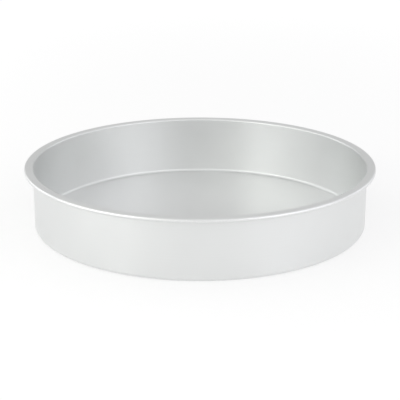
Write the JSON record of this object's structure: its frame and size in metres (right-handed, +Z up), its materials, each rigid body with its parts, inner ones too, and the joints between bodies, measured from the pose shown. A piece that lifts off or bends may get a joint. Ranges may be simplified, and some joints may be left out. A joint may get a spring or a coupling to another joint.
{
  "type": "round cake tin",
  "caption": "Round straight-sided aluminium cake tin, one seamless sheet with a flat floor, tight bottom corner and a turned-out rim with a curled edge.",
  "frame": {"origin": "centre of the underside, where the tin stands", "axes": "+Z up along the tin's axis, out of its mouth; +X and +Y are any two square directions, because the tin is round"},
  "size_m": [0.4294, 0.4294, 0.0762],
  "materials": {
    "anodised_sheet": "satin anodised"
  },
  "bodies": {
    "root": {"tin": "anodised_sheet"}
  },
  "joints": []
}
